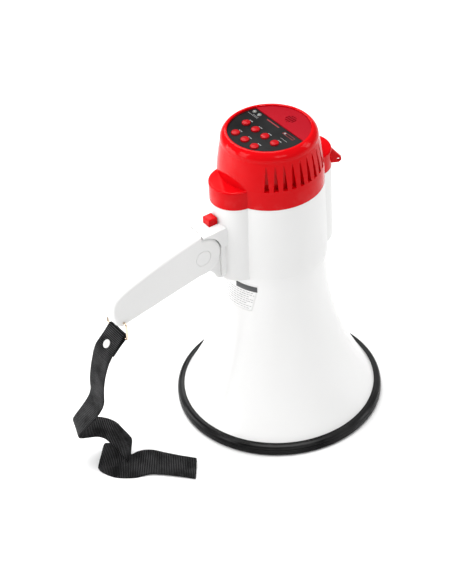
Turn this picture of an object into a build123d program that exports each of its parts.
from build123d import *
import math
import os

os.makedirs("parts", exist_ok=True)

# ---------------------------------------------------------------- driving dimensions (mm)
# Frame: origin at the centre of the bell mouth, on the plane the rim rests on. +Z up the horn
# axis to the rear cap, -X to the side that carries the handle.
RIM_R = 115.0          # outer radius of the rim bumper
RIM_H = 12.4           # height of the rim bumper
Z_SEAM = 197.0         # bell meets body
Z_CAP = 285.0          # body meets rear cap
Z_TOP = 348.5          # top edge of the rear cap
R_NECK = 56.4          # bell radius at the seam
BELL_W = 2.4           # bell wall
BODY_R0, BODY_R1 = 57.4, 55.5   # body radius at the seam and at the cap
WALL = 2.5
LOBE_X, LOBE_R = 45.0, 27.0     # the two side lobes
LOBE_Z0 = 193.0
LOBE_TOP = 306.0
CAP_SKIRT = 306.5
PANEL_R = 42.6
PANEL_Z = 346.2        # top face of the control panel
SPLIT_X = 13.0         # straight edge between panel and microphone cover
BTN_R, BTN_TRAVEL = 4.55, 0.8
PIV_X, PIV_Z = -98.0, 238.0     # handle pivot
CHEEK_R = 22.4
HW = 15.0              # half width of the handle
KW = 8.6               # half width of the bracket knuckle
KR = 14.0              # knuckle radius
PIN_R = 3.0
RING_X, RING_Z = -198.0, 204.3  # wire ring's hole in the handle's end
RING_W, RING_H, WIRE_R = 19.0, 20.0, 1.2
TRIG_TRAVEL = 3.5
REL_TRAVEL = 2.3
STRAP_R = 3.0          # radius of the plain solid that stands for the strap
STRAP_WIDTH = 28.0     # real width of the webbing
CELL_R, CELL_H = 13.1, 50.0     # C size cell


def bell_r(z):
    """Outer radius of the bell at height z."""
    s = (Z_SEAM - z) / 187.0
    return R_NECK + 52.0 * (0.009 * s + 0.991 * s ** 2.23)


def save(part, name):
    part.label = name
    export_step(part, f"parts/{name}.step")


def pts_plane(origin, xd, zd):
    return Plane(origin=origin, x_dir=xd, z_dir=zd)


# ================================================================ horn
BELL_ZS = [5.0, 10, 20, 32, 46, 62, 80, 100, 122, 146, 170, 190.0]
outer_pts = [(bell_r(z), z) for z in BELL_ZS] + [(R_NECK, Z_SEAM)]
inner_pts = []
for z in BELL_ZS:
    dr = (bell_r(z + 0.5) - bell_r(z - 0.5))
    n = math.hypot(1.0, dr)
    inner_pts.append((bell_r(z) - BELL_W / n, z + BELL_W * dr / n if z < 189.0 else z))

with BuildPart() as horn_bell:
    with BuildSketch(Plane.XZ) as sk:
        with BuildLine() as ln:
            Spline(*outer_pts)
            Polyline((R_NECK, Z_SEAM), (54.4, Z_SEAM), (54.4, 203.0), (52.2, 203.0), (52.2, 193.5),
                     (15.0, 193.5), (15.0, 190.0), (inner_pts[-1][0], inner_pts[-1][1]))
            Spline(*inner_pts)
            Line(inner_pts[0], outer_pts[0])
        make_face()
    revolve(axis=Axis.Z)
    # three bosses behind the bulkhead take the driver screws
    with BuildSketch(Plane.XY.offset(193.4)) as sk:
        with PolarLocations(43.5, 3, start_angle=30):
            Circle(4.0)
    extrude(amount=5.0)
    with BuildSketch(Plane.XY.offset(191.5)) as sk:
        with PolarLocations(43.5, 3, start_angle=30):
            Circle(1.55)
    extrude(amount=8.0, mode=Mode.SUBTRACT)
save(horn_bell.part, "horn_bell")

# Rim bumper: outer lip, three fine grooves, and a slot that takes the edge of the bell.
with BuildPart() as bell_rim_ring:
    with BuildSketch(Plane.XZ) as sk:
        with BuildLine() as ln:
            Polyline((103.2, 2.0), (104.6, 0.0), (112.6, 0.0), (114.2, 0.9), (114.9, 2.4),
                     (114.9, 3.2), (114.2, 3.7), (114.9, 4.2), (115.0, 5.4), (114.3, 5.9), (115.0, 6.4),
                     (114.9, 7.6), (114.2, 8.1), (114.7, 8.6), (114.2, 10.2), (112.8, 11.6), (110.6, RIM_H),
                     (107.2, RIM_H), (104.0, RIM_H), (101.9, 10.2), close=True)
        make_face()
    revolve(axis=Axis.Z)
    add(horn_bell.part, mode=Mode.SUBTRACT)
    # keep only the bumper itself: the hollow's scrap inside the bell wall is part of the lip
bell_rim_ring.part.label = "bell_rim_ring"
save(bell_rim_ring.part, "bell_rim_ring")

# Throat tube: carries the sound from the driver down into the reflector.
with BuildPart() as throat_tube:
    with BuildSketch(Plane.XZ) as sk:
        with BuildLine() as ln:
            Polyline((9.0, 190.0), (9.2, 160.0), (11.0, 120.0), (14.5, 78.0), (16.5, 78.0), (13.2, 120.0),
                     (11.4, 160.0), (11.4, 186.0), (26.0, 186.0), (26.0, 190.0), close=True)
        make_face()
    revolve(axis=Axis.Z)
save(throat_tube.part, "throat_tube")

# Reflector bowl: closed towards the mouth, open at the top, three fins stand it off the bell.
with BuildPart() as reflector_bowl:
    with BuildSketch(Plane.XZ) as sk:
        with BuildLine() as ln:
            Spline((0.0, 54.0), (12.0, 55.6), (22.0, 61.5), (28.5, 73.0), (32.0, 95.0), (34.0, 125.0),
                   (35.5, 160.0), tangents=[(1, 0), (0.03, 1)])
            Line((35.5, 160.0), (33.5, 160.0))
            Spline((33.5, 160.0), (32.0, 125.0), (30.0, 95.0), (26.6, 74.5), (20.8, 63.6), (11.6, 58.0),
                   (0.0, 56.4), tangents=[(-0.03, -1), (-1, 0)])
            Line((0.0, 56.4), (0.0, 54.0))
        make_face()
    revolve(axis=Axis.Z)
    with BuildSketch(Plane.XZ) as sk:
        with BuildLine() as ln:
            Polyline((34.2, 128.0), (54.0, 148.0), (53.6, 158.0), (35.0, 158.0), close=True)
        make_face()
    extrude(amount=1.1, both=True)
    with BuildSketch(Plane.XZ.rotated((0, 0, 120))) as sk:
        with BuildLine() as ln:
            Polyline((34.2, 128.0), (54.0, 148.0), (53.6, 158.0), (35.0, 158.0), close=True)
        make_face()
    extrude(amount=1.1, both=True)
    with BuildSketch(Plane.XZ.rotated((0, 0, 240))) as sk:
        with BuildLine() as ln:
            Polyline((34.2, 128.0), (54.0, 148.0), (53.6, 158.0), (35.0, 158.0), close=True)
        make_face()
    extrude(amount=1.1, both=True)
save(reflector_bowl.part, "reflector_bowl")

# ================================================================ compression driver
with BuildPart() as driver_gasket:
    with BuildSketch(Plane.XY.offset(193.6)) as sk:
        Circle(38.0)
        Circle(10.0, mode=Mode.SUBTRACT)
    extrude(amount=1.0)
save(driver_gasket.part, "driver_gasket")

with BuildPart() as driver_frame:
    with BuildSketch(Plane.XZ) as sk:
        with BuildLine() as ln:
            Polyline((9.0, 194.6), (38.0, 194.6), (38.0, 206.0), (36.0, 206.0), (36.0, 201.0), (24.0, 201.0),
                     (20.0, 197.6), (9.0, 197.6), close=True)
        make_face()
    revolve(axis=Axis.Z)
    # three ears
    with BuildSketch(Plane.XY.offset(198.6)) as sk:
        with PolarLocations(43.5, 3, start_angle=30):
            Circle(5.0)
            with Locations((-6.0, 0.0)):
                Rectangle(8.0, 8.0)
    extrude(amount=2.4)
    with BuildSketch(Plane.XY.offset(198.0)) as sk:
        with PolarLocations(43.5, 3, start_angle=30):
            Circle(1.75)
    extrude(amount=4.0, mode=Mode.SUBTRACT)
save(driver_frame.part, "driver_frame")

with BuildPart() as driver_diaphragm:
    with BuildSketch(Plane.XZ) as sk:
        with BuildLine() as ln:
            Spline((0.0, 206.3), (9.5, 204.4), (16.2, 201.3), tangents=[(1, 0), (1, -0.6)])
            Polyline((16.2, 201.3), (24.8, 201.3), (24.8, 201.7), (16.3, 201.7))
            Spline((16.3, 201.7), (9.6, 204.8), (0.0, 206.7), tangents=[(-1, 0.6), (-1, 0)])
            Line((0.0, 206.7), (0.0, 206.3))
        make_face()
    revolve(axis=Axis.Z)
save(driver_diaphragm.part, "driver_diaphragm")

with BuildPart() as voice_coil:
    with BuildSketch(Plane.XY.offset(201.8)) as sk:
        Circle(17.0)
        Circle(16.4, mode=Mode.SUBTRACT)
    extrude(amount=8.0)
save(voice_coil.part, "voice_coil")

with BuildPart() as driver_top_plate:
    with BuildSketch(Plane.XY.offset(206.1)) as sk:
        Circle(35.6)
        Circle(17.6, mode=Mode.SUBTRACT)
    extrude(amount=4.0)
save(driver_top_plate.part, "driver_top_plate")

with BuildPart() as driver_magnet:
    with BuildSketch(Plane.XY.offset(210.1)) as sk:
        Circle(35.0)
        Circle(19.5, mode=Mode.SUBTRACT)
    extrude(amount=11.0)
save(driver_magnet.part, "driver_magnet")

with BuildPart() as driver_yoke:
    with BuildSketch(Plane.XY.offset(221.1)) as sk:
        Circle(34.0)
    extrude(amount=4.5)
    with BuildSketch(Plane.XY.offset(208.0)) as sk:
        Circle(15.8)
    extrude(amount=13.2)
save(driver_yoke.part, "driver_yoke")

with BuildPart() as driver_cover:
    with BuildSketch(Plane.XZ) as sk:
        with BuildLine() as ln:
            Polyline((36.3, 201.2), (39.0, 201.2), (39.0, 228.0), (37.0, 230.0), (0.0, 230.0), (0.0, 228.4),
                     (36.0, 228.4), (37.4, 227.0), (37.4, 206.3), (38.2, 206.3), (38.2, 202.6), (36.3, 202.6),
                     close=True)
        make_face()
    revolve(axis=Axis.Z)
    add(driver_frame.part, mode=Mode.SUBTRACT)
save(driver_cover.part, "driver_cover")

with BuildPart() as driver_screws:
    with BuildSketch(Plane.XY.offset(191.8)) as sk:
        with PolarLocations(43.5, 3, start_angle=30):
            Circle(1.5)
    extrude(amount=9.3)
    with BuildSketch(Plane.XY.offset(201.1)) as sk:
        with PolarLocations(43.5, 3, start_angle=30):
            Circle(3.0)
    extrude(amount=2.0)
    with BuildSketch(Plane.XY.offset(202.1)) as sk:
        with PolarLocations(43.5, 3, start_angle=30):
            Rectangle(3.2, 0.8)
            Rectangle(0.8, 3.2)
    extrude(amount=1.5, mode=Mode.SUBTRACT)
save(driver_screws.part, "driver_screws")

# ================================================================ body housing
def lobe_profile(r, z0, z1, rnd):
    """Half section of a lobe with a rounded lower edge, radius r, rounding rnd."""
    k = math.sqrt(0.5)
    Line((0.0, z0), (r - rnd, z0))
    ThreePointArc((r - rnd, z0), (r - rnd + rnd * k, z0 + rnd - rnd * k), (r, z0 + rnd))
    Polyline((r, z0 + rnd), (r, z1), (0.0, z1), (0.0, z0))


def lobe_plane(x):
    return Plane(origin=(x, 0, 0), x_dir=(1, 0, 0), z_dir=(0, -1, 0))


PIL_X = 60.0           # screw pillars in the lobes
with BuildPart() as body_housing:
    with BuildSketch(Plane.XZ) as sk:
        with BuildLine() as ln:
            Polyline((0.0, Z_SEAM + 0.05), (BODY_R0 - 0.6, Z_SEAM + 0.05), (BODY_R0, Z_SEAM + 0.65),
                     (BODY_R1, Z_CAP - 0.25), (0.0, Z_CAP - 0.25), close=True)
        make_face()
    revolve(axis=Axis.Z)
    for sx in (-1, 1):
        with BuildSketch(lobe_plane(sx * LOBE_X)) as sk:
            with BuildLine() as ln:
                lobe_profile(LOBE_R, LOBE_Z0, Z_CAP - 0.25, 4.0)
            make_face()
        revolve(axis=Axis((sx * LOBE_X, 0, 0), (0, 0, 1)))
    # hollow
    with BuildSketch(Plane.XZ) as sk:
        with BuildLine() as ln:
            Polyline((0.0, 190.0), (54.5, 190.0), (54.5, 205.0), (BODY_R0 - 0.3 - WALL, 208.0),
                     (BODY_R1 - WALL, 290.0), (0.0, 290.0), close=True)
        make_face()
    revolve(axis=Axis.Z, mode=Mode.SUBTRACT)
    for sx in (-1, 1):
        with BuildSketch(lobe_plane(sx * LOBE_X)) as sk:
            with BuildLine() as ln:
                lobe_profile(LOBE_R - WALL, LOBE_Z0 + WALL, 290.0, 2.0)
            make_face()
        revolve(axis=Axis((sx * LOBE_X, 0, 0), (0, 0, 1)), mode=Mode.SUBTRACT)
    # screw pillars, driven from below the lobes
    with BuildSketch(Plane.XY.offset(LOBE_Z0 + 2.0)) as sk:
        with Locations((PIL_X, 0), (-PIL_X, 0)):
            Circle(5.6)
    extrude(amount=Z_CAP - 0.4 - LOBE_Z0 - 2.0)
    with BuildSketch(Plane.XY.offset(LOBE_Z0 - 1.0)) as sk:
        with Locations((PIL_X, 0), (-PIL_X, 0)):
            Circle(4.0)
    extrude(amount=263.0 - LOBE_Z0 + 1.0, mode=Mode.SUBTRACT)
    with BuildSketch(Plane.XY.offset(253.0)) as sk:
        with Locations((PIL_X, 0), (-PIL_X, 0)):
            Circle(1.85)
    extrude(amount=40.0, mode=Mode.SUBTRACT)
    # the lobes reach down beside the neck of the bell and its spigot
    with BuildSketch(Plane.XZ) as sk:
        with BuildLine() as ln:
            Polyline((0.0, 185.0), (56.6, 185.0), (56.6, Z_SEAM + 0.05), (54.5, Z_SEAM + 0.05), (54.5, 203.2),
                     (0.0, 203.2), close=True)
        make_face()
    revolve(axis=Axis.Z, mode=Mode.SUBTRACT)
    # ledge that carries the battery carrier
    with BuildSketch(Plane.XY.offset(232.6)) as sk:
        Circle(54.4)
        Circle(50.0, mode=Mode.SUBTRACT)
        with Locations((LOBE_X, 0), (-LOBE_X, 0)):
            Rectangle(40.0, 46.0, mode=Mode.SUBTRACT)
    extrude(amount=2.4)
    # two clearance holes for the screws that hold the handle bracket
    with BuildSketch(Plane(origin=(-80.0, 0, 0), x_dir=(0, 1, 0), z_dir=(1, 0, 0))) as sk:
        with Locations((0.0, 216.0), (0.0, 226.0)):
            Circle(1.6)
    extrude(amount=12.0, mode=Mode.SUBTRACT)
save(body_housing.part, "body_housing")

# ================================================================ rear cap
CAP_OUT = [(55.5, Z_CAP), (55.5, 300.0), (55.3, CAP_SKIRT), (54.0, 317.0), (52.2, 328.0), (50.3, 338.0)]
LUG_A = math.radians(-33.0)
with BuildPart() as rear_cap:
    with BuildSketch(Plane.XZ) as sk:
        with BuildLine() as ln:
            Polyline((0.0, Z_CAP), *CAP_OUT)
            ThreePointArc((50.3, 338.0), (49.0, 344.4), (45.6, Z_TOP - 0.2))
            Polyline((45.6, Z_TOP - 0.2), (44.0, Z_TOP), (43.2, Z_TOP - 0.3), (0.0, Z_TOP - 0.3), (0.0, Z_CAP))
        make_face()
    revolve(axis=Axis.Z)
    for sx in (-1, 1):
        with BuildSketch(lobe_plane(sx * LOBE_X)) as sk:
            with BuildLine() as ln:
                Polyline((0.0, Z_CAP), (LOBE_R, Z_CAP), (LOBE_R, LOBE_TOP - 2.0))
                ThreePointArc((LOBE_R, LOBE_TOP - 2.0), (LOBE_R - 0.586, LOBE_TOP - 0.586), (LOBE_R - 2.0, LOBE_TOP))
                Polyline((LOBE_R - 2.0, LOBE_TOP), (0.0, LOBE_TOP), (0.0, Z_CAP))
            make_face()
        revolve(axis=Axis((sx * LOBE_X, 0, 0), (0, 0, 1)))
    # hollow
    with BuildSketch(Plane.XZ) as sk:
        with BuildLine() as ln:
            Polyline((0.0, 280.0), (BODY_R1 - WALL, 280.0), (BODY_R1 - WALL, 300.0), (47.6, 306.0), (46.0, 336.0),
                     (44.4, 341.6), (40.6, 341.6), (40.6, 343.8), (PANEL_R + 0.25, 343.8), (PANEL_R + 0.25, 352.0),
                     (0.0, 352.0), close=True)
        make_face()
    revolve(axis=Axis.Z, mode=Mode.SUBTRACT)
    for sx in (-1, 1):
        with BuildSketch(lobe_plane(sx * LOBE_X)) as sk:
            with BuildLine() as ln:
                Polyline((0.0, 280.0), (LOBE_R - WALL, 280.0), (LOBE_R - WALL, LOBE_TOP - WALL - 2.0),
                         (LOBE_R - WALL - 2.0, LOBE_TOP - WALL), (10.0, LOBE_TOP - WALL), (0.0, 300.0), close=True)
            make_face()
        revolve(axis=Axis((sx * LOBE_X, 0, 0), (0, 0, 1)), mode=Mode.SUBTRACT)
    # cooling flutes: cut straight down into the tapered wall, so each runs out to a point at its top
    with BuildSketch(Plane.XY.offset(CAP_SKIRT + 0.5)) as sk:
        for k in range(9):
            for base in (-90.0, 90.0):
                with PolarLocations(57.2, 1, start_angle=base - 40.0 + 10.0 * k):
                    Rectangle(16.6, 5.0)
    extrude(amount=34.0, taper=4.0, mode=Mode.SUBTRACT)
    # two bosses that take the long screws from the body
    with BuildSketch(Plane.XY.offset(Z_CAP + 0.2)) as sk:
        with Locations((PIL_X, 0), (-PIL_X, 0)):
            Circle(5.0)
    extrude(amount=LOBE_TOP - WALL - Z_CAP)
    with BuildSketch(Plane.XY.offset(Z_CAP - 1.0)) as sk:
        with Locations((PIL_X, 0), (-PIL_X, 0)):
            Circle(1.65)
    extrude(amount=17.0, mode=Mode.SUBTRACT)
    # lanyard lug on the lobe away from the handle
    with BuildSketch(Plane(origin=(LOBE_X, 0, 0), x_dir=(math.cos(LUG_A), math.sin(LUG_A), 0),
                           z_dir=(math.sin(LUG_A), -math.cos(LUG_A), 0))) as sk:
        with BuildLine() as ln:
            Polyline((25.6, Z_CAP + 0.3), (34.5, Z_CAP + 0.8), (37.2, Z_CAP + 3.6), (37.0, Z_CAP + 6.6),
                     (27.0, Z_CAP + 18.0), (25.6, Z_CAP + 18.4), close=True)
        make_face()
        with Locations((33.9, Z_CAP + 4.6)):
            Circle(1.5, mode=Mode.SUBTRACT)
    extrude(amount=1.5, both=True)
    # four posts under the top that carry the control board
    with BuildSketch(Plane.XY.offset(338.2)) as sk:
        with Locations((-24.0, 34.5), (-24.0, -34.5), (24.0, 34.5), (24.0, -34.5)):
            Circle(3.2)
    extrude(amount=5.0)
    with BuildSketch(Plane.XY.offset(337.0)) as sk:
        with Locations((-24.0, 34.5), (-24.0, -34.5), (24.0, 34.5), (24.0, -34.5)):
            Circle(1.0)
    extrude(amount=5.6, mode=Mode.SUBTRACT)
    with BuildSketch(Plane.XY.offset(343.8)) as sk:
        Circle(PANEL_R + 0.2)
    extrude(amount=3.0, mode=Mode.SUBTRACT)
save(rear_cap.part, "rear_cap")

with BuildPart() as cap_screws:
    with BuildSketch(Plane.XY.offset(260.5)) as sk:
        with Locations((PIL_X, 0), (-PIL_X, 0)):
            Circle(3.4)
    extrude(amount=2.5)
    with BuildSketch(Plane.XY.offset(263.0)) as sk:
        with Locations((PIL_X, 0), (-PIL_X, 0)):
            Circle(1.6)
    extrude(amount=36.0)
    with BuildSketch(Plane.XY.offset(260.0)) as sk:
        with Locations((PIL_X, 0), (-PIL_X, 0)):
            Rectangle(4.0, 0.9)
            Rectangle(0.9, 4.0)
    extrude(amount=1.9, mode=Mode.SUBTRACT)
save(cap_screws.part, "cap_screws")

# ================================================================ control panel
BTN_POS = [(-11.0, 24.2), (-11.0, 8.1), (-11.0, -8.1), (-11.0, -24.2), (-30.0, 16.2), (-30.0, 0.0), (-30.0, -16.2)]
LED_POS = [(8.6, 36.6), (8.6, 28.4)]

with BuildPart() as control_panel:
    with BuildSketch(Plane.XY.offset(343.9)) as sk:
        Circle(PANEL_R)
        with Locations((SPLIT_X + 50.0, 0)):
            Rectangle(100.0, 120.0, mode=Mode.SUBTRACT)
        with Locations(*BTN_POS):
            Circle(BTN_R + 0.3, mode=Mode.SUBTRACT)
        with Locations(*LED_POS):
            Circle(2.65, mode=Mode.SUBTRACT)
    extrude(amount=PANEL_Z - 343.9)
save(control_panel.part, "control_panel")

with BuildPart() as mic_cover:
    with BuildSketch(Plane.XY.offset(343.9)) as sk:
        Circle(PANEL_R)
        with Locations((SPLIT_X + 0.25 - 50.0, 0)):
            Rectangle(100.0, 120.0, mode=Mode.SUBTRACT)
    extrude(amount=PANEL_Z + 1.0 - 343.9)
    # five slits over the capsule
    with BuildSketch(Plane.XY.offset(343.0)) as sk:
        for k, ln_ in ((-2, 6.6), (-1, 10.8), (0, 12.4), (1, 10.8), (2, 6.6)):
            with Locations((27.6, k * 2.6)):
                SlotOverall(ln_, 1.2)
    extrude(amount=6.0, mode=Mode.SUBTRACT)
save(mic_cover.part, "mic_cover")

for k, (bx, by) in enumerate(BTN_POS):
    with BuildPart() as btn:
        with BuildSketch(Plane(origin=(bx, by, 0), x_dir=(1, 0, 0), z_dir=(0, -1, 0))) as sk:
            with BuildLine() as ln:
                Polyline((0.0, 341.9), (5.6, 341.9), (5.6, 343.4), (BTN_R, 343.4), (BTN_R, 347.3))
                ThreePointArc((BTN_R, 347.3), (4.25, 347.85), (3.6, 348.1))
                Spline((3.6, 348.1), (1.9, 348.35), (0.0, 348.42), tangents=[(-1, 0.2), (-1, 0)])
                Line((0.0, 348.42), (0.0, 341.9))
            make_face()
        revolve(axis=Axis((bx, by, 0), (0, 0, 1)))
    save(btn.part, f"button_{k + 1}")

with BuildPart() as status_leds:
    for lx, ly in LED_POS:
        with BuildSketch(Plane(origin=(lx, ly, 0), x_dir=(1, 0, 0), z_dir=(0, -1, 0))) as sk:
            with BuildLine() as ln:
                Polyline((0.0, 337.7), (2.95, 337.7), (2.95, 338.8), (2.5, 338.8), (2.5, 345.4))
                Spline((2.5, 345.4), (1.77, 346.9), (0.0, 347.5), tangents=[(0, 1), (-1, 0)])
                Line((0.0, 347.5), (0.0, 337.7))
            make_face()
        revolve(axis=Axis((lx, ly, 0), (0, 0, 1)))
save(status_leds.part, "status_leds")

with BuildPart() as control_board:
    with BuildSketch(Plane.XY.offset(336.1)) as sk:
        Circle(42.4)
        with Locations((-24.0, 34.5), (-24.0, -34.5), (24.0, 34.5), (24.0, -34.5)):
            Circle(1.3, mode=Mode.SUBTRACT)
    extrude(amount=1.6)
save(control_board.part, "control_board")

with BuildPart() as board_screws:
    with BuildSketch(Plane.XY.offset(334.5)) as sk:
        with Locations((-24.0, 34.5), (-24.0, -34.5), (24.0, 34.5), (24.0, -34.5)):
            Circle(2.2)
    extrude(amount=1.6)
    with BuildSketch(Plane.XY.offset(336.1)) as sk:
        with Locations((-24.0, 34.5), (-24.0, -34.5), (24.0, 34.5), (24.0, -34.5)):
            Circle(0.95)
    extrude(amount=6.0)
save(board_screws.part, "board_screws")

with BuildPart() as tact_switches:
    with BuildSketch(Plane.XY.offset(337.7)) as sk:
        with Locations(*BTN_POS):
            Rectangle(6.0, 6.0)
    extrude(amount=2.2)
    with BuildSketch(Plane.XY.offset(339.8)) as sk:
        with Locations(*BTN_POS):
            Circle(1.75)
    extrude(amount=1.1)
save(tact_switches.part, "tact_switches")

with BuildPart() as mic_boot:
    with BuildSketch(Plane.XY.offset(337.8)) as sk:
        with Locations((27.6, 0)):
            Circle(7.2)
    extrude(amount=5.9)
    with BuildSketch(Plane.XY.offset(338.8)) as sk:
        with Locations((27.6, 0)):
            Circle(4.9)
    extrude(amount=8.0, mode=Mode.SUBTRACT)
save(mic_boot.part, "mic_boot")

with BuildPart() as mic_capsule:
    with BuildSketch(Plane.XY.offset(338.8)) as sk:
        with Locations((27.6, 0)):
            Circle(4.85)
    extrude(amount=4.4)
save(mic_capsule.part, "mic_capsule")

with BuildPart() as board_components:
    # amplifier chip with its heatsink, and three capacitors, on the lower face of the board
    with BuildSketch(Plane.XY.offset(331.6)) as sk:
        with Locations((5.0, -14.0)):
            Rectangle(20.0, 9.0)
    extrude(amount=4.4)
    with BuildSketch(Plane.XY.offset(320.0)) as sk:
        with Locations((-16.0, 12.0), (-2.0, 16.0), (12.0, 12.0)):
            Circle(5.0)
    extrude(amount=16.0)
save(board_components.part, "board_components")

# ================================================================ batteries
CELL_RING = 33.0
with BuildPart() as battery_carrier:
    with BuildSketch(Plane.XY.offset(235.1)) as sk:
        Circle(51.0)
    extrude(amount=2.6)
    with BuildSketch(Plane.XY.offset(237.6)) as sk:
        Circle(15.0)
        Circle(6.0, mode=Mode.SUBTRACT)
    extrude(amount=56.2)
    with BuildSketch(Plane.XY.offset(237.6)) as sk:
        with PolarLocations(33.0, 6, start_angle=30):
            Rectangle(32.0, 1.8)
    extrude(amount=40.0)
    with BuildSketch(Plane.XY.offset(237.0)) as sk:
        with PolarLocations(CELL_RING, 6):
            Circle(CELL_R + 0.35)
    extrude(amount=70.0, mode=Mode.SUBTRACT)
    with BuildSketch(Plane.XY.offset(235.0)) as sk:
        Circle(6.0)
    extrude(amount=70.0, mode=Mode.SUBTRACT)
save(battery_carrier.part, "battery_carrier")

with BuildPart() as battery_cells:
    for k in range(6):
        a = math.radians(60 * k)
        cx, cy = CELL_RING * math.cos(a), CELL_RING * math.sin(a)
        with BuildSketch(Plane(origin=(cx, cy, 0), x_dir=(1, 0, 0), z_dir=(0, -1, 0))) as sk:
            with BuildLine() as ln:
                z0 = 242.2
                Polyline((0.0, z0), (12.3, z0), (CELL_R, z0 + 0.8), (CELL_R, z0 + 47.2), (12.3, z0 + 48.0),
                         (3.2, z0 + 48.0), (3.0, z0 + CELL_H), (0.0, z0 + CELL_H), close=True)
            make_face()
        revolve(axis=Axis((cx, cy, 0), (0, 0, 1)))
save(battery_cells.part, "battery_cells")

with BuildPart() as battery_springs:
    # cone springs under the negative ends, drawn as stacked turns
    for k in range(6):
        a = math.radians(60 * k)
        cx, cy = CELL_RING * math.cos(a), CELL_RING * math.sin(a)
        with BuildSketch(Plane(origin=(cx, cy, 0), x_dir=(1, 0, 0), z_dir=(0, -1, 0))) as sk:
            with BuildLine() as ln:
                Polyline((4.0, 237.1), (8.0, 237.1), (8.0, 237.9), (7.0, 238.4), (7.0, 239.2), (6.0, 239.7),
                         (6.0, 240.5), (5.0, 241.0), (5.0, 242.1), (4.0, 242.1), close=True)
            make_face()
        revolve(axis=Axis((cx, cy, 0), (0, 0, 1)))
save(battery_springs.part, "battery_springs")

with BuildPart() as battery_lid:
    with BuildSketch(Plane.XY.offset(293.9)) as sk:
        Circle(50.5)
        Circle(6.0, mode=Mode.SUBTRACT)
    extrude(amount=2.2)
    with BuildSketch(Plane.XY.offset(296.0)) as sk:
        Circle(50.5)
        Circle(48.5, mode=Mode.SUBTRACT)
    extrude(amount=3.0)
save(battery_lid.part, "battery_lid")

with BuildPart() as contact_plates:
    # three bridging strips on the underside of the lid, each across two cells
    with BuildSketch(Plane.XY.offset(293.3)) as sk:
        with PolarLocations(28.6, 3, start_angle=30):
            Rectangle(6.0, 40.0)
    extrude(amount=0.5)
save(contact_plates.part, "contact_plates")

# ================================================================ handle bracket
def xz(pts):
    Polyline(*pts, close=True)


with BuildPart() as handle_bracket:
    # knuckle, web and plate
    with BuildSketch(Plane.XZ) as sk:
        with Locations((PIV_X, PIV_Z)):
            Circle(KR)
        with BuildLine() as ln:
            xz([(PIV_X, PIV_Z - KR), (-82.0, 208.0), (-79.5, 201.5), (-76.0, 198.4), (-60.0, 198.4), (-60.0, 262.0),
                (-97.0, 262.0), (-97.0, 252.2), (PIV_X, PIV_Z + KR)])
        make_face()
    extrude(amount=KW, both=True)
    # block with a crowned top, full width of the handle
    with BuildSketch(Plane(origin=(-97.0, 0, 0), x_dir=(0, 1, 0), z_dir=(1, 0, 0))) as sk:
        with BuildLine() as ln:
            Line((HW, 241.0), (HW, 262.6))
            ThreePointArc((HW, 262.6), (0.0, 265.8), (-HW, 262.6))
            Polyline((-HW, 262.6), (-HW, 241.0), (HW, 241.0))
        make_face()
    extrude(amount=37.0)
    # flange against the lobe
    with BuildSketch(Plane(origin=(-74.6, 0, 0), x_dir=(0, 1, 0), z_dir=(1, 0, 0))) as sk:
        with Locations((0.0, 222.0)):
            RectangleRounded(24.0, 47.0, 8.0)
    extrude(amount=14.0)
    # the cheeks of the handle turn beside the knuckle
    for sy in (-1, 1):
        with BuildSketch(Plane.XZ.offset(-sy * (KW + HW + 5.0) / 2.0)) as sk:
            with Locations((PIV_X, PIV_Z)):
                Circle(CHEEK_R + 0.55)
        extrude(amount=(HW + 5.0 - KW) / 2.0, both=True, mode=Mode.SUBTRACT)
    # shape of the body behind it
    with BuildSketch(Plane.XY.offset(190.0)) as sk:
        with Locations((-LOBE_X, 0)):
            Circle(LOBE_R + 0.02)
        Circle(BODY_R0 + 0.02)
    extrude(amount=90.0, mode=Mode.SUBTRACT)
    # pocket for the release button, and the slot its tongue slides in
    with BuildSketch(Plane.XY.offset(262.0)) as sk:
        with Locations((-77.3, 0)):
            Rectangle(12.0, 12.1)
    extrude(amount=10.0, mode=Mode.SUBTRACT)
    with BuildSketch(Plane.XY.offset(246.0)) as sk:
        with Locations((-77.8, 0)):
            Rectangle(13.0, 14.4)
    extrude(amount=16.2, mode=Mode.SUBTRACT)
    with BuildSketch(Plane.XY.offset(252.6)) as sk:
        with Locations((-90.5, 0)):
            Rectangle(17.0, 8.0)
    extrude(amount=5.2, mode=Mode.SUBTRACT)
    # bore for the pivot pin
    with BuildSketch(Plane.XZ) as sk:
        with Locations((PIV_X, PIV_Z)):
            Circle(PIN_R)
    extrude(amount=20.0, both=True, mode=Mode.SUBTRACT)
    # pilot holes for the two screws from inside the body
    with BuildSketch(Plane(origin=(-82.0, 0, 0), x_dir=(0, 1, 0), z_dir=(1, 0, 0))) as sk:
        with Locations((0.0, 216.0), (0.0, 226.0)):
            Circle(1.35)
    extrude(amount=14.0, mode=Mode.SUBTRACT)
save(handle_bracket.part, "handle_bracket")

with BuildPart() as bracket_screws:
    with BuildSketch(Plane(origin=(-80.5, 0, 0), x_dir=(0, 1, 0), z_dir=(1, 0, 0))) as sk:
        with Locations((0.0, 216.0), (0.0, 226.0)):
            Circle(1.3)
    extrude(amount=11.25)
    with BuildSketch(Plane(origin=(-69.3, 0, 0), x_dir=(0, 1, 0), z_dir=(1, 0, 0))) as sk:
        with Locations((0.0, 216.0), (0.0, 226.0)):
            Circle(2.7)
    extrude(amount=2.0)
save(bracket_screws.part, "bracket_screws")

with BuildPart() as pivot_pin:
    with BuildSketch(Plane.XZ) as sk:
        with Locations((PIV_X, PIV_Z)):
            Circle(PIN_R)
    extrude(amount=13.3, both=True)
    chamfer(pivot_pin.edges().filter_by(GeomType.CIRCLE), 0.5)
save(pivot_pin.part, "pivot_pin")

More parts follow.
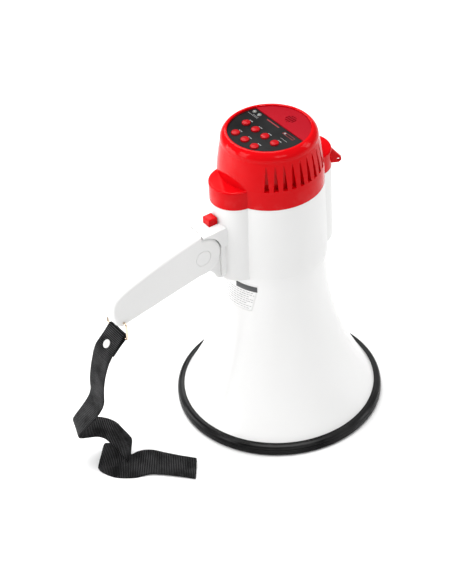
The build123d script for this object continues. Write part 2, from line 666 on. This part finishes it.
with BuildPart() as pivot_washers:
    for sy in (-1, 1):
        with BuildSketch(Plane.XZ.offset(sy * 8.95)) as sk:
            with Locations((PIV_X, PIV_Z)):
                Circle(8.0)
                Circle(PIN_R + 0.05, mode=Mode.SUBTRACT)
        extrude(amount=0.3, both=True)
save(pivot_washers.part, "pivot_washers")

# ---------------------------------------------------------------- release button
with BuildPart() as release_button:
    with BuildSketch(Plane.XY.offset(259.6)) as sk:
        with Locations((-77.65, 0)):
            Rectangle(10.7, 11.5)
    extrude(amount=13.4)
    fillet(release_button.edges().filter_by(Axis.Z), 0.8)
    fillet(release_button.faces().sort_by(Axis.Z)[-1].edges(), 1.2)
    with BuildSketch(Plane.XY.offset(257.9)) as sk:
        with Locations((-78.15, 0)):
            Rectangle(11.7, 13.6)
    extrude(amount=2.0)
save(release_button.part, "release_button")

with BuildPart() as lock_tongue:
    with BuildSketch(Plane.XZ) as sk:
        with BuildLine() as ln:
            xz([(-103.2, 255.3), (-82.6, 255.3), (-82.6, 257.9), (-84.0, 257.9), (-84.0, 256.8), (-100.4, 256.8),
                (-102.4, 256.3), (-103.2, 255.9)])
        make_face()
    extrude(amount=3.5, both=True)
save(lock_tongue.part, "lock_tongue")

with BuildPart() as release_spring:
    with BuildLine() as ln:
        Helix(pitch=2.2, height=10.0, radius=3.2, center=(-78.15, 0, 246.9))
    with BuildSketch(Plane(origin=ln.line @ 0, z_dir=ln.line % 0)) as sk:
        Circle(0.45)
    sweep(is_frenet=True)
save(release_spring.part, "release_spring")

# ================================================================ handle
TOP_L = [(-97.4, 265.0), (-112.0, 263.2), (-126.0, 260.2), (-150.0, 254.4), (-172.0, 248.0), (-190.0, 242.0)]
BOT_A = math.radians(10.0)
U = (-math.cos(BOT_A), 0.0, -math.sin(BOT_A))      # outwards along the lower edge
N = (-math.sin(BOT_A), 0.0, math.cos(BOT_A))       # into the handle
TX, TZ = PIV_X - CHEEK_R * math.sin(BOT_A) * -1.0, PIV_Z
# lower edge leaves the cheek circle at this point
TAN = (PIV_X - CHEEK_R * math.sin(BOT_A), PIV_Z - CHEEK_R * math.cos(BOT_A))


def low(d):
    """Point on the lower edge, d along it from the cheek."""
    return (TAN[0] + U[0] * d, TAN[1] + U[2] * d)


END_L = low(95.0)


def handle_outline(off):
    """Side view of the handle, moved inwards by off."""
    o = off
    t = [(x, z - o) for x, z in TOP_L[:-1]] + [(TOP_L[-1][0] + 0.25 * o, TOP_L[-1][1] - 0.96 * o)]
    e1 = (-206.4 + o, 231.0 - 0.3 * o)
    e2 = (-209.0 + o, 221.5)
    e3 = (-207.4 + o, 208.0 + 0.2 * o)
    b0 = (END_L[0] + U[0] * (-0.2 * o) + N[0] * o, END_L[1] + N[2] * o - 0.0)
    b1 = (TAN[0] + N[0] * o, TAN[1] + N[2] * o)
    return t, e1, e2, e3, b0, b1


with BuildPart() as handle_body:
    t, e1, e2, e3, b0, b1 = handle_outline(0.0)
    with BuildSketch(Plane.XZ) as sk:
        with BuildLine() as ln:
            Spline(*t, e1, e2, e3, b0, tangents=[(-1, 0.02), (1.0, 0.12)])
            Line(b0, b1)
            ThreePointArc(b1, (PIV_X + CHEEK_R, PIV_Z), (PIV_X + 0.6, PIV_Z + CHEEK_R - 0.008))
            Line((PIV_X + 0.6, PIV_Z + CHEEK_R - 0.008), t[0])
        make_face()
    extrude(amount=HW, both=True)
    fillet(handle_body.edges().filter_by(lambda e: abs(abs(e.center().Y) - HW) < 0.01), 4.0)
    # hollow
    t, e1, e2, e3, b0, b1 = handle_outline(2.8)
    with BuildSketch(Plane.XZ) as sk:
        with BuildLine() as ln:
            Polyline((-119.5, t[2][1] + 1.2), *t[2:], e1, e2, e3, b0,
                     (-119.5, b1[1] + (-119.5 - b1[0]) * math.tan(BOT_A)), close=True)
        make_face()
    extrude(amount=HW - 2.6, both=True, mode=Mode.SUBTRACT)
    # room for the knuckle between the cheeks
    with BuildSketch(Plane.XZ) as sk:
        with Locations((PIV_X, PIV_Z)):
            Circle(19.4)
        with BuildLine() as ln:
            xz([(PIV_X - 0.0, PIV_Z), (-126.0, 231.0), (-127.5, 200.0), (-60.0, 190.0), (-60.0, 275.0), (-97.3, 275.0),
                (-97.3, 250.0)])
        make_face()
    extrude(amount=KW + 0.75, both=True, mode=Mode.SUBTRACT)
    # notch in the roof for the tongue
    with BuildSketch(Plane.XZ) as sk:
        with BuildLine() as ln:
            xz([(-104.0, 255.0), (-99.8, 255.0), (-99.8, 259.0), (-104.0, 259.0)])
        make_face()
    extrude(amount=4.0, both=True, mode=Mode.SUBTRACT)
    # screw pillars, boss for the wire ring, seat for the trigger spring
    SCR = [(-131.0, 246.5), (-170.0, 240.0), (-198.0, 225.0), (-178.5, 210.5)]
    with BuildSketch(Plane.XZ) as sk:
        with Locations(*SCR):
            Circle(3.4)
        with Locations((RING_X, RING_Z)):
            Circle(4.4)
    extrude(amount=HW - 1.0, both=True)
    # running holes: pivot pin, wire ring
    with BuildSketch(Plane.XZ) as sk:
        with Locations((PIV_X, PIV_Z)):
            Circle(PIN_R + 0.05)
    extrude(amount=20.0, both=True, mode=Mode.SUBTRACT)
    with BuildSketch(Plane.XZ) as sk:
        with Locations((RING_X, RING_Z)):
            Circle(WIRE_R + 0.05)
    extrude(amount=20.0, both=True, mode=Mode.SUBTRACT)
    # round recesses for the pivot covers
    for sy in (-1, 1):
        with BuildSketch(Plane.XZ.offset(-sy * (HW + 1.0))) as sk:
            with Locations((PIV_X, PIV_Z)):
                Circle(9.0)
        extrude(amount=sy * 2.4, mode=Mode.SUBTRACT)
    # screw holes: heads sunk in the far side
    with BuildSketch(Plane.XZ) as sk:
        with Locations(*SCR):
            Circle(1.35)
    extrude(amount=10.5, both=True, mode=Mode.SUBTRACT)
    with BuildSketch(Plane.XZ.offset(-HW - 1.0)) as sk:
        with Locations(*SCR):
            Circle(1.6)
    extrude(amount=HW + 0.5, mode=Mode.SUBTRACT)
    with BuildSketch(Plane.XZ.offset(-HW - 1.0)) as sk:
        with Locations(*SCR):
            Circle(2.9)
    extrude(amount=5.0, mode=Mode.SUBTRACT)

T0 = low(47.0)
TRIG = Plane(origin=(T0[0], 0, T0[1]), x_dir=U, z_dir=N)

with BuildPart() as trigger_slot:
    with BuildSketch(TRIG.offset(-6.0)) as sk:
        RectangleRounded(31.6, 14.6, 2.6)
    extrude(amount=10.0)
with BuildPart() as spring_seat:
    with BuildSketch(TRIG.offset(17.4)) as sk:
        with Locations((7.0, 0)):
            Rectangle(26.0, 26.4)
    extrude(amount=2.2)

for nm, keep in (("handle_shell_left", Keep.BOTTOM), ("handle_shell_right", Keep.TOP)):
    with BuildPart() as shell:
        add(handle_body.part)
        add(spring_seat.part)
        add(trigger_slot.part, mode=Mode.SUBTRACT)
        split(bisect_by=Plane.XZ, keep=keep)
    save(shell.part, nm)

with BuildPart() as pivot_covers:
    for sy in (-1, 1):
        with BuildSketch(Plane.XZ.offset(-sy * (HW + 0.15))) as sk:
            with Locations((PIV_X, PIV_Z)):
                Circle(8.75)
        extrude(amount=sy * 1.5)
    fillet(pivot_covers.faces().filter_by(lambda f: abs(abs(f.center().Y) - HW - 0.15) < 0.01).edges(), 0.5)
save(pivot_covers.part, "pivot_covers")

with BuildPart() as handle_screws:
    with BuildSketch(Plane.XZ.offset(-11.0)) as sk:
        with Locations(*SCR):
            Circle(2.7)
    extrude(amount=-2.0)
    with BuildSketch(Plane.XZ.offset(-11.0)) as sk:
        with Locations(*SCR):
            Circle(1.3)
    extrude(amount=20.5)
    with BuildSketch(Plane.XZ.offset(-13.2)) as sk:
        with Locations(*SCR):
            Rectangle(3.2, 0.8)
            Rectangle(0.8, 3.2)
    extrude(amount=1.3, mode=Mode.SUBTRACT)
save(handle_screws.part, "handle_screws")

# ---------------------------------------------------------------- talk trigger
with BuildPart() as trigger:
    with BuildSketch(TRIG.offset(-5.2)) as sk:
        RectangleRounded(31.0, 14.0, 2.4)
    extrude(amount=8.7)
    fillet(trigger.faces().sort_by(Axis(origin=TRIG.origin, direction=TRIG.z_dir))[0].edges(), 2.0)
    with BuildSketch(TRIG.offset(3.3)) as sk:
        RectangleRounded(35.0, 17.0, 1.0)
    extrude(amount=2.0)
    with BuildSketch(TRIG.offset(5.2)) as sk:
        Circle(2.4)
    extrude(amount=2.6)
save(trigger.part, "trigger")

with BuildPart() as trigger_spring:
    hp = TRIG.offset(5.85)
    with BuildLine() as ln:
        Helix(pitch=2.2, height=11.0, radius=3.4, center=hp.origin, direction=hp.z_dir)
    with BuildSketch(Plane(origin=ln.line @ 0, z_dir=ln.line % 0)) as sk:
        Circle(0.45)
    sweep(is_frenet=True)
save(trigger_spring.part, "trigger_spring")

with BuildPart() as trigger_switch:
    with BuildSketch(Plane(origin=TRIG.from_local_coords((12.5, 0, 10.0)), x_dir=U, z_dir=N)) as sk:
        Rectangle(12.0, 6.2)
    extrude(amount=7.4)
    with BuildSketch(Plane(origin=TRIG.from_local_coords((15.0, 0, 9.2)), x_dir=U, z_dir=N)) as sk:
        Rectangle(2.4, 2.0)
    extrude(amount=1.0)
save(trigger_switch.part, "trigger_switch")

# ================================================================ wire ring and strap
with BuildPart() as strap_ring:
    with BuildLine() as ln:
        FilletPolyline((RING_X, 0.2, RING_Z), (RING_X, RING_W, RING_Z), (RING_X, RING_W, RING_Z - RING_H),
                       (RING_X, -RING_W, RING_Z - RING_H), (RING_X, -RING_W, RING_Z), (RING_X, -0.2, RING_Z),
                       radius=2.6)
    with BuildSketch(Plane(origin=ln.line @ 0, z_dir=ln.line % 0)) as sk:
        Circle(WIRE_R)
    sweep()
save(strap_ring.part, "strap_ring")

# Strap end: the webbing is folded round the lower bar of the ring and riveted to itself.
BAR_Z = RING_Z - RING_H
LD = (-0.72, 0.0, -0.694)                          # the way the strap leaves the ring
LN = (-0.694, 0.0, 0.72)
with BuildPart() as strap_loop:
    with BuildSketch(Plane.XZ) as sk:
        with Locations((RING_X, BAR_Z)):
            Circle(3.1)
        with BuildLine() as ln:
            xz([(RING_X + LN[0] * 2.2, BAR_Z + LN[2] * 2.2),
                (RING_X + LN[0] * 1.7 + LD[0] * 29, BAR_Z + LN[2] * 1.7 + LD[2] * 29),
                (RING_X - LN[0] * 1.7 + LD[0] * 29, BAR_Z - LN[2] * 1.7 + LD[2] * 29),
                (RING_X - LN[0] * 2.2, BAR_Z - LN[2] * 2.2)])
        make_face()
    extrude(amount=STRAP_WIDTH / 2.0, both=True)
    with BuildSketch(Plane.XZ) as sk:
        with Locations((RING_X, BAR_Z)):
            Circle(WIRE_R + 0.15)
    extrude(amount=20.0, both=True, mode=Mode.SUBTRACT)
    with BuildSketch(Plane(origin=(RING_X + LD[0] * 17, 0, BAR_Z + LD[2] * 17), x_dir=(0, 1, 0), z_dir=LN)) as sk:
        Circle(1.6)
    extrude(amount=10.0, both=True, mode=Mode.SUBTRACT)
save(strap_loop.part, "strap_loop")

with BuildPart() as strap_rivet:
    rp = Plane(origin=(RING_X + LD[0] * 17, 0, BAR_Z + LD[2] * 17), x_dir=(0, 1, 0), z_dir=LN)
    with BuildSketch(rp.offset(-2.9)) as sk:
        Circle(1.6)
    extrude(amount=5.8)
    with BuildSketch(rp.offset(2.15)) as sk:
        Circle(4.6)
    extrude(amount=1.2)
    with BuildSketch(rp.offset(-3.35)) as sk:
        Circle(4.0)
    extrude(amount=1.2)
save(strap_rivet.part, "strap_rivet")

# Free length of the strap. Each corner's arc takes 0.45 of its shorter run.
STRAP = [
    (-220.0, 0.6, 161.2),
    (-222.5, 5.5, 144.0),
    (-225.5, 8.5, 120.0),
    (-226.5, 13.5, 95.0),
    (-236.5, 21.0, 74.0),
    (-246.5, 29.0, 55.0),
    (-240.0, 35.0, 43.5),
    (-227.0, 33.5, 42.0),
    (-215.5, 29.0, 39.0),
    (-207.0, 21.0, 32.5),
    (-203.5, 12.0, 22.0),
    (-197.5, 3.5, 11.9),
    (-201.5, 5.5, 3.5),
    (-212.0, 15.0, 4.6),
    (-219.0, 25.0, 4.4),
    (-229.0, 26.0, 4.2),
    (-233.5, 16.5, 3.4),
    (-226.0, 4.0, 3.4),
    (-213.0, -7.0, 3.8),
    (-198.0, -8.5, 3.4),
    (-184.0, -10.0, 3.6),
    (-171.0, -26.0, 3.4),
    (-160.0, -41.0, 3.6),
    (-151.0, -53.5, 3.4),
]


def arc_radii(route):
    out = []
    for a, b, c in zip(route, route[1:], route[2:]):
        u, v = Vector(*b) - Vector(*a), Vector(*c) - Vector(*b)
        turn = math.radians(u.get_angle(v))
        out.append(0.45 * min(u.length, v.length) / math.tan(turn / 2.0))
    return out


RADII = arc_radii(STRAP)
with BuildPart() as strap:
    with BuildLine() as ln:
        FilletPolyline(*STRAP, radius=RADII)
    with BuildSketch(Plane(origin=ln.line @ 0, z_dir=ln.line % 0)) as sk:
        Circle(STRAP_R)
    sweep()
save(strap.part, "strap")
print("strap radii", [round(r, 1) for r in RADII])
print("strap length", round(ln.wire().length, 1), "volume", round(strap.part.volume, 1), "section x length",
      round(math.pi * STRAP_R ** 2 * ln.wire().length, 1))
